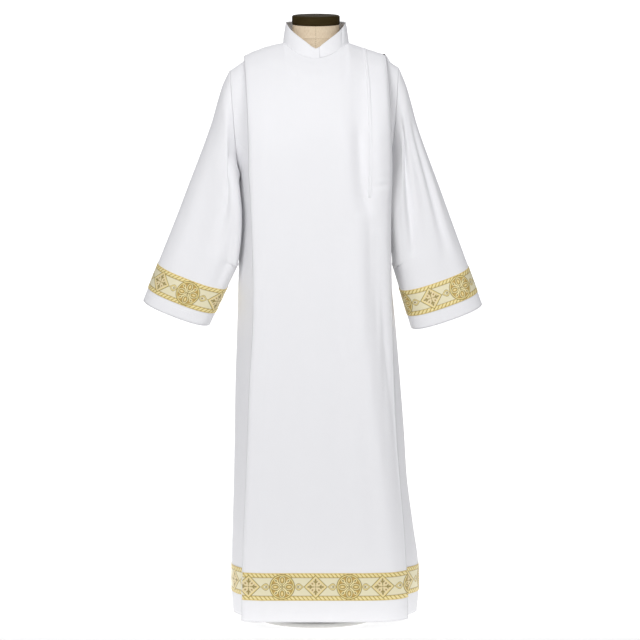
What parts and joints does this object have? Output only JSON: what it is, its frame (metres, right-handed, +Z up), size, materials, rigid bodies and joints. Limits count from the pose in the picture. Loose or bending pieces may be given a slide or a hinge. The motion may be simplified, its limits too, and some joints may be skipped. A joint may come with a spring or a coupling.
{
  "type": "alb robe on a dress form",
  "caption": "Wrap-front white alb with a notched stand collar, wide sleeves and gold galloon bands at cuffs and hem, worn on a limbless dress form with a pole and round base",
  "frame": {"origin": "centre of the underside of the stand's round base", "axes": "+X to the wearer's left, -Y to the wearer's front, +Z up"},
  "size_m": [0.8148, 0.3328, 1.4711],
  "materials": {
    "cotton": "white plain-weave polyester cotton, pressed",
    "galloon": "gold jacquard galloon",
    "linen": "natural linen cover",
    "cap_wood": "dark satin wood",
    "steel": "brushed",
    "snap_metal": "dark nickel"
  },
  "bodies": {
    "root": {"front_wrap": "cotton", "under_front": "cotton", "back": "cotton", "sleeve_right": "cotton", "sleeve_left": "cotton", "collar": "cotton", "shoulder_tuck": "cotton", "hem_band_wrap": "galloon", "hem_band_side": "galloon", "hem_band_under": "galloon", "hem_band_back": "galloon", "cuff_band_right": "galloon", "cuff_band_left": "galloon", "shoulder_snap": "snap_metal", "form_torso": "linen", "neck_cap": "cap_wood", "stand_pole": "steel", "stand_base": "steel"}
  },
  "joints": []
}
